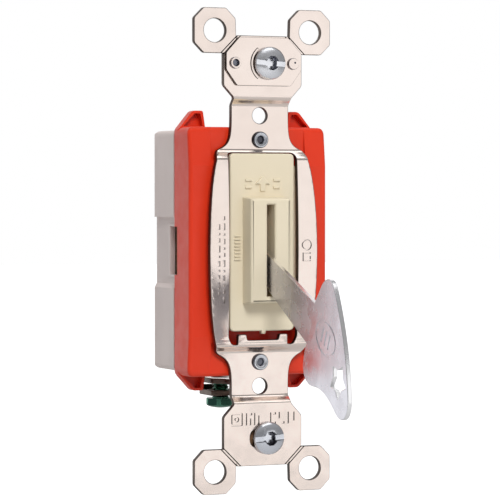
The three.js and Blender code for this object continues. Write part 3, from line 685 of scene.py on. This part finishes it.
def make_front_frame():
    """A face that slopes back towards both ends, four lugs, and a pocket below the cover."""
    half, z_half = frame_high.x, 27.3
    face, lug_front, back = 0.95, 7.92, 10.48
    slope_start, slope_length, slope_depth = 19, 8.3, 6
    outline = skin_outline(half, z_half, 1.5, 8)
    skin = plate([outline], "y", face + INSIDE, back + INSIDE, 0.8, 6)

    def slope(x, y, z):
        along = max(0.0, abs(z) - slope_start) / slope_length
        return x, y + along * max(0.0, 1 - (y - face) / slope_depth), z

    shaped(sliced(skin, "z", [-slope_start, slope_start]), slope)
    for side in SIDES:
        for end in SIDES:
            corners = [(9.8, 26.2, 0), (16.5, 26.2, 0), (16.55, 26.8, 0.4)]
            corners += [(13.0, frame_high.z, 0.7), (10.5, frame_high.z, 0.5)]
            lug = plate([rounded(corners)], "y", lug_front, back, 0.3, 4)
            united(skin, placed(lug, Matrix.Diagonal((side, 1, end, 1))))
    combined(skin, "INTERSECT", copy_of_node("front_frame"))
    cut(skin, block(-8.6, 8.6, -1, 3.9, -21.2, -17.6, 0))
    united(skin, block(-6.6, 6.6, 3.8, 4.15, -20.8, -17.3, 0))
    rise_start, rise_length, more_above, more_below = 26, 1.3, 0.3, 0.6

    def taller(x, y, z):
        reach = abs(z)
        fade = (frame_high.z - reach) / (frame_high.z - z_half)
        share = max(0.0, min((reach - rise_start) / rise_length, fade))
        return x, y, z + share * (more_above if z > 0 else -more_below)

    shaped(skin, taller)
    return piece(skin, "front_frame_moulding", "front_frame", "housing", smooth=32)


def make_rear_body():
    """Ejector marks, a strip gauge and wire slots at the back, and a border round the latch window."""
    half, z_half = body_high.x, body_high.z
    front, back = body_low.y, body_high.y
    skin = plate([skin_outline(half, z_half, 1.2, 6)], "y", front - 1.5, back - INSIDE, 1.5, 8)
    combined(skin, "INTERSECT", copy_of_node("rear_body"))
    tools = []
    for x in (-11.5, 8.0):
        for z in (-21.5, 21.5):
            tools.append(plate([circle(x, z, 1.4, 32)], "y", back - 0.15, back + 1, 0.02, 1))
    gauge = rectangle(-10.5, -9.3, -8.0, 8.0, 0.6)
    tools.append(plate([gauge], "y", back - 0.7, back + 1, 0.05))
    wire_places = [end * WIRE_Z + side * WIRE_SPREAD for end in SIDES for side in SIDES]
    for z in wire_places:
        tools.append(block(8.0, 10.6, back - 0.9, back + 1, z - 0.45, z + 0.45, 0.05, 0.2))
    cut(skin, loose(tools))
    panel = [rectangle(-6.5, 4.5, -9, 9, 1.0), rectangle(-6.0, 4.0, -8.5, 8.5, 0.7)]
    root = back - 0.2
    frames = [plate(panel, "y", root, back + 0.25, 0.1)]
    bore, rim = 1.55, 2.3
    rows = [(bore, root), (rim, root), (rim, back + 0.15), (2.1, back + 0.3), (1.7, back + 0.3)]
    rows += [(bore, back + 0.15), (bore, root)]
    for z in wire_places:
        frames.append(moved(turned(rows, 32), 13.4, 0, z))
    border = block(-15.95, -15.3, 10.85, 15.6, -6.0, 6.0, 0.12, 0.5, "x")
    frames.append(cut(border, block(-20, 0, 5, 14.3, -5.4, 5.4, 0)))
    united(skin, loose(frames))
    return piece(skin, "rear_body_moulding", "rear_body", "housing", smooth=32)


# Key

def key_outline():
    """A tongue, a straight blade and a curved head, with the key's length running towards minus."""
    tip, tongue, blade, neck = 1.5, 2.4, 3.35, (35.4, 4.85)
    points = [(tip, -tongue), (tip, tongue), (6.4, tongue), (7.4, blade), neck, (36.7, 9.2)]
    points += curve((36.7, 9.2), (37.6, 12.2), (40.3, 14.2), (43.2, 11.7), 12)
    points += curve((43.2, 11.7), (49, 7.2), (54.6, 1.2), (58.6, -6.2), 20)
    points += curve((58.6, -6.2), (60.2, -9.6), (58.2, -12.3), (54.6, -11.6), 12)
    points += curve((54.6, -11.6), (49.5, -10.1), (46, -10), (42.4, -11.6), 12)
    points += curve((42.4, -11.6), (38.6, -13.4), (35.2, -11.8), (35.3, -6.9), 12)
    points += [(neck[0], -neck[1]), (7.4, -blade), (6.4, -tongue)]
    return [(-a, b) for a, b in points]


def star_outline():
    """The five-pointed hole in the key's head."""
    centre_a, centre_b, outer, inner, turn = 52.6, -4.8, 3.9, 2.3, 0.5
    points = 5
    corners = []
    for i in range(2 * points):
        radius = inner if i % 2 else outer
        angle = i * math.pi / points + turn
        corners.append((-centre_a + radius * math.cos(angle), centre_b + radius * math.sin(angle), 0.3))
    return rounded(corners, 3)


def key_oval(along, across):
    """An oval about the middle of the key head's marks."""
    middle_a, middle_b = -43.5, 0.6
    angles = [math.pi * i / 24 for i in range(48)]
    return [(middle_a + along * math.cos(t), middle_b + across * math.sin(t)) for t in angles]


def make_key():
    low, high = KEY_X - KEY_THICKNESS / 2, KEY_X + KEY_THICKNESS / 2
    blank = plate([key_outline(), star_outline()], "x", low, high, 0.14)
    tools = []
    mark_depth = 0.14
    for face, away in ((low, -1), (high, 1)):
        ends = sorted((face - away * mark_depth, face + away))
        tools.append(plate([key_oval(5.2, 3.6), key_oval(4.75, 3.15)], "x", *ends, 0.03, 1))
        for a in (-45.3, -43.5, -41.7):
            tools.append(plate([rectangle(a - 0.3, a + 0.3, -1.1, 2.3, 0.25)], "x", *ends, 0.03, 1))
    cut(blank, loose(tools))
    turn = Matrix.Translation((0, PIVOT_Y, 0)) @ Matrix.Rotation(KEY_TILT, 4, "X")
    # the key's rims take the painted highlight metal
    return piece(placed(blank, turn), "flat_key", "key", "key", "key_edge_highlight", 32)


# Screws and rivets

def screw(head, height, shank, length, slot, pitch, cross=0.0, flat=0.3):
    """A machine screw about +Y with its head towards -Y: domed head, slot, cross recess and a cut thread.

    The head's rim stands straight up to the share flat of its height, and cross is half its recess's width.
    """
    depth = 0.55 * pitch
    root = shank - depth / 2
    rows = [(0, length), (shank - depth - 0.1, length), (root, length - 0.35)]
    threaded, rows_per_turn = length - 0.8, 6
    steps = int(threaded / pitch * rows_per_turn)
    rows += [(root, length - 0.4 - threaded * i / steps) for i in range(steps + 1)]
    rows += [(shank, 0.2), (shank, 0.0), (head - 0.15, 0), (head, -0.15), (head, -height * flat)]
    for i in range(1, 13):
        angle = math.pi / 2 * i / 12
        rows.append((head * math.cos(angle), -height * (flat + (1 - flat) * math.sin(angle))))
    rows[-1] = (0, -height)
    body = turned(rows, 48, pitch, depth, (0.3, length - 0.4))
    tools = [block(-FAR, FAR, -height - 2, 0.8 * slot - height, -slot / 2, slot / 2, 0.12)]
    if cross:
        for turn in (0, 90):
            wing = block(-cross, cross, -height - 2, 1.7 * slot - height, -0.6, 0.6, 0.1)
            shaped(wing, lambda x, y, z: (x * (1 - 0.2 * max(0.0, y + height)), y, z))
            tools.append(placed(wing, Matrix.Rotation(math.radians(turn), 4, "Y")))
        above, floor = -height - 1, slot - height + 0.2
        pit = turned([(0, above), (1.7, above), (1.4, floor), (0, slot - height + 0.35)], 32)
        # painted shade: every face of the cross pit takes the dark recess metal
        tools.append(paint_shade(pit, lambda x, y, z: True))
    cut(body, *tools)
    # painted shade on the faces inside the cross recess
    return paint_shade(body, lambda x, y, z: math.hypot(x, z) < cross and 0.4 - height < y < 0)


def make_mounting_screws():
    for name, end in (("upper", 1), ("lower", -1)):
        node = f"{name}_mounting_screw"
        low, high = span(node)
        seat = joints[node + "_turn"]["pos_m"][1] / MM
        body = screw(high.x - MOUNT_X, seat - low.y, 1.6, high.y - seat, 1.3, PITCH, cross=2.0)
        turn = Matrix.Rotation(math.radians(4 * end), 4, "Y")
        placed(body, Matrix.Translation((MOUNT_X, seat, end * MOUNT_Z)) @ turn)
        piece(body, node + "_turned", node, node, "recess")


def make_terminal_screws():
    for name in ("line", "load"):
        node = f"{name}_screw"
        low, high = span(node)
        pos = Vector(joints[node + "_turn"]["pos_m"]) / MM
        body = screw(3.6, high.x - pos.x, 2.2, pos.x - low.x, 1.1, PITCH, flat=0.45)
        placed(body, Matrix.Translation(pos) @ Matrix.Rotation(math.pi / 2, 4, "Z"))
        piece(body, node + "_turned", node, node, "recess")


def make_ground_screw():
    """A six-sided head with a domed, slotted face, which stands a little way below its seat."""
    low, high = span("ground_screw")
    pos = Vector(joints["ground_screw_turn"]["pos_m"]) / MM
    neck = 0.35
    body = screw(3.35, pos.z - low.z - neck, 1.9, high.z - pos.z, 1.0, PITCH, flat=0.55)
    hexagon = plate([rounded([(*p, 0.3) for p in circle(0, 0, 3.6, 6)], 3)], "y", -8, 0.1, 0)
    shank = plate([circle(0, 0, 2.3)], "y", -0.3, 8, 0)
    combined(body, "INTERSECT", united(hexagon, shank))
    placed(body, Matrix.Translation(pos - Vector((0, 0, neck))) @ Matrix.Rotation(math.pi / 2, 4, "X"))
    piece(body, "ground_screw_turned", "ground_screw", "ground_screw", "green_shade")


def make_rivets():
    """Tubular rivets: a rolled rim with a blind bore in front, painted dark with shade like the rim's outer edge,
    and a formed head behind.
    """
    front = SHOULDER_FRONT - 0.3
    back = body_high.y + 0.3
    bore, shaft = 0.75, 1.2
    rim_inner, rim_outer = 0.85, 1.62
    rows = [(0, front + 0.3), (bore - 0.1, front + 0.25), (bore, front - 0.1), (bore + 0.25, front - 0.42)]
    rows += arc(1.5, front - 0.22, 0.3, 240, 330, 6)
    rows += arc(1.75, front - 0.08, 0.1, -20, 90, 3)
    rows += [(shaft, front), (shaft, back), (2.1, back)]
    rows += [(2.2, back + 0.2), (2.0, back + 0.45), (1.5, back + 0.55)]
    rows += [(bore + 0.2, back + 0.4), (bore, back + 0.1), (bore - 0.1, back - 0.5), (0, back - 0.55)]

    # painted shade in the bore and round the rim's outer edge
    def off_the_rim(x, y, z):
        return y < front + 0.4 and not rim_inner < math.hypot(x, z) < rim_outer

    for name, end in (("upper", 1), ("lower", -1)):
        node = f"{name}_rivet"
        body = paint_shade(turned(rows, 40), off_the_rim)
        piece(moved(body, z=end * RIVET_Z), node + "_rolled", node, "housing", "recess")


def make_clip():
    """Thin spring clip with a curled finger beside the mounting screw, and its two stakes."""
    low, high = clip_low.y, clip_high.y
    corners = [(5.9, clip_high.z, 0.3), (9.1, 43.95, 0.3), (9.1, 40.2, 0.4), (6.5, clip_low.z, 0.4)]
    outline = rounded(corners + [(-x, z, r) for x, z, r in reversed(corners)])
    holes = [rectangle(-3.1, 3.2, MOUNT_Z - 2, MOUNT_Z + 2, 0.9)]
    holes += [circle(side * STAKE_X, MOUNT_Z, 1.1, 24) for side in SIDES]
    sheet = plate([outline, *holes], "y", low, high, 0.08)
    start, end = 128, 232
    finger = arc(MOUNT_X, MOUNT_Z, 4.4, start, end, 16) + arc(MOUNT_X, MOUNT_Z, 3.8, end, start, 16)
    united(sheet, plate([finger], "y", low - 0.25, high - 0.05, 0.12))
    # the clip's rims get the dark edge metal, partly painted shade
    piece(sheet, "auto_ground_clip_sheet", "auto_ground_clip", "housing", "sheared_edge_and_shade")
    face = low - 0.3
    shank, flank, top = 0.8, 1.2, face - 0.32
    shoulder = [(0, -0.2), (shank, -0.2), (shank, face), (flank, face)]
    shoulder += [(1.28, face - 0.1), (1.18, face - 0.3)]
    tube = turned(shoulder + [(0.85, top), (0.75, face - 0.2), (0.7, face + 0.4), (0, face + 0.4)], 32)
    # painted shade in the tube's hole and on its outer flank
    paint_shade(tube, lambda x, y, z: math.hypot(x, z) < 0.78 and y > face - 0.25 or math.hypot(x, z) > flank)
    dent_x, dent_z = 0.3, 0.25
    punch = turned([(0, -0.5), (0.35, -0.5), (0.2, 0.2), (0, 0.2)], 16)
    disc = cut(turned(shoulder + [(0, top)], 32), moved(punch, dent_x, face - 0.3, dent_z))

    def dent_or_flank(x, y, z):
        return math.hypot(x - dent_x, z - dent_z) < 0.36 and y > face - 0.3 or math.hypot(x, z) > flank

    # painted shade in the punched dent and on the disc's flank
    paint_shade(disc, dent_or_flank)
    for name, side, body in (("left", -1, tube), ("right", 1, disc)):
        node = f"{name}_clip_stake"
        piece(moved(body, side * STAKE_X, 0, MOUNT_Z), node + "_headed", node, "housing", "recess")


def make_small_plates():
    """Wire clamps with wire grooves, the grounding screw's pressure plate, and fibre washers."""
    for name in ("line", "load"):
        node = f"{name}_clamp_plate"
        low, high = span(node)
        centre = (low + high) / 2
        outline = rectangle(low.y, high.y, low.z, high.z, 0.7)
        body = plate([outline, circle(centre.y, centre.z, 2.5)], "x", low.x, high.x, 0.15)
        grooves = []
        for z in (centre.z - 3.1, centre.z + 3.1):
            grooves.append(block(low.x - 1, low.x + 0.25, low.y - 1, high.y + 1, z - 0.5, z + 0.5, 0.05))
        piece(cut(body, loose(grooves)), node + "_pressed", node, f"{name}_clamp")
    low, high = span("ground_clamp_plate")
    pos = joints["ground_screw_turn"]["pos_m"]
    top = -31.4
    outline = rectangle(low.x, high.x, low.y, high.y, 0.8)
    body = plate([outline, circle(pos[0] / MM, pos[1] / MM, 2.2)], "z", low.z, top, 0.2)
    lip = block(low.x + 0.3, high.x - 0.3, high.y - 0.9, high.y - 0.01, top - 0.6, high.z, 0.15, 0.2)
    united(body, lip)
    # painted shade: the plate's top faces take the dark edge metal
    paint_shade(body, lambda x, y, z: z > top - 0.15)
    piece(body, "ground_clamp_plate_pressed", "ground_clamp_plate", "ground_clamp", "sheared_edge_and_shade")
    for name, end in (("upper", 1), ("lower", -1)):
        node = f"{name}_screw_retainer"
        low, high = span(node)
        outline = rectangle(low.x, high.x, low.z, high.z, 0.5)
        body = plate([outline, circle(MOUNT_X, end * MOUNT_Z, 1.9)], "y", low.y, high.y, 0.06)
        piece(body, node + "_die_cut", node, "housing")


# Stage, light and camera

def smooth_step(tree, value, start, end, before, after):
    """A node that runs smoothly from one value to another while the input goes from start to end."""
    node = tree.nodes.new("ShaderNodeMapRange")
    node.interpolation_type = "SMOOTHSTEP"
    tree.links.new(value, node.inputs["Value"])
    for socket, number in (("From Min", start), ("From Max", end), ("To Min", before), ("To Max", after)):
        node.inputs[socket].default_value = number
    return node.outputs["Result"]


def make_stage():
    """A pale floor well below the switch, which glows towards the back so that it meets the backdrop."""
    size, drop = 6.0, 0.12
    glow_start, glow_end, glow = 0.2, 0.9, 0.9
    mesh = bpy.data.meshes.new("floor")
    height = cad_low.z - drop
    corners = [(-size, -size, height), (size, -size, height), (size, size, height), (-size, size, height)]
    mesh.from_pydata(corners, [], [(0, 1, 2, 3)])
    floor = linked("floor", mesh)
    material, shader = node_material("floor_white", roughness=0.9)
    tree = material.node_tree
    tone = ramp(material, noise(material, 3, 2), [(0.3, 0.6), (0.7, 0.64)])
    tree.links.new(tone, shader.inputs["Base Color"])
    place = tree.nodes.new("ShaderNodeTexCoord")
    parts = tree.nodes.new("ShaderNodeSeparateXYZ")
    tree.links.new(place.outputs["Object"], parts.inputs["Vector"])
    strength = smooth_step(tree, parts.outputs["Y"], glow_start, glow_end, 0.0, glow)
    tree.links.new(strength, shader.inputs["Emission Strength"])
    shader.inputs["Emission Color"].default_value = (1, 1, 1, 1)
    mesh.materials.append(material)


def soft_light(name, place, target, size, power, mirrored_in_metal=True):
    data = bpy.data.lights.new(name, "AREA")
    data.shape = "RECTANGLE"
    data.size, data.size_y = size
    data.energy = power
    light = bpy.data.objects.new(name, data)
    bpy.context.scene.collection.objects.link(light)
    light.location = place
    light.visible_glossy = mirrored_in_metal
    light.rotation_euler = (Vector(target) - Vector(place)).to_track_quat("-Z", "Y").to_euler()


def make_world():
    """White behind the switch, and grey elsewhere, a little lighter overhead."""
    world = bpy.data.worlds.new("studio")
    bpy.context.scene.world = world
    world.use_nodes = True
    tree = world.node_tree
    place = tree.nodes.new("ShaderNodeTexCoord")
    parts = tree.nodes.new("ShaderNodeSeparateXYZ")
    tree.links.new(place.outputs["Generated"], parts.inputs["Vector"])
    brighter = tree.nodes.new("ShaderNodeMath")
    brighter.operation = "MAXIMUM"
    tree.links.new(smooth_step(tree, parts.outputs["Y"], 0.35, 0.65, 0.0, 1.0), brighter.inputs[0])
    tree.links.new(smooth_step(tree, parts.outputs["Z"], 0.35, 0.6, 0.28, 0.36), brighter.inputs[1])
    background = tree.nodes["Background"]
    background.inputs["Color"].default_value = (1, 1, 1, 1)
    tree.links.new(brighter.outputs["Value"], background.inputs["Strength"])


def make_lights():
    make_world()
    soft_light("reflection_box", (0.328, -0.728, 0.03), (0, 0, 0.03), (0.38, 0.36), 0.325)
    soft_light("overhead_box", (0.1, -0.25, 0.8), (0, 0, 0), (0.7, 0.5), 1.3)
    soft_light("key_light", (-0.135, -0.72, 0.52), (0, 0, 0), (0.3, 0.3), 5.4, False)


def make_camera():
    """The photograph's viewpoint: 24 degrees round to the switch's left, a little above its middle."""
    azimuth, elevation, distance = math.radians(-24.01), math.radians(1.229), 0.5912
    level = math.cos(elevation)
    back = Vector((math.sin(azimuth) * level, -math.cos(azimuth) * level, math.sin(elevation)))
    data = bpy.data.cameras.new("camera")
    data.sensor_width = 36
    data.lens = 190.97
    data.shift_x = -0.0210
    data.shift_y = 0.0019
    data.clip_start, data.clip_end = 0.01, 20
    camera = bpy.data.objects.new("camera", data)
    bpy.context.scene.collection.objects.link(camera)
    camera.location = back * distance
    camera.rotation_euler = (-back).to_track_quat("-Z", "Y").to_euler()
    bpy.context.scene.camera = camera


make_camera()
make_stage()
make_lights()
make_strap()
make_cover()
make_front_frame()
make_rear_body()
make_key()
make_mounting_screws()
make_terminal_screws()
make_ground_screw()
make_rivets()
make_clip()
make_small_plates()

for name, node in frame["nodes"].items():
    if not node.hide_render:
        node.data.materials.clear()
        node.data.materials.append(finish_of(name))

bpy.context.scene.view_settings.view_transform = "Standard"
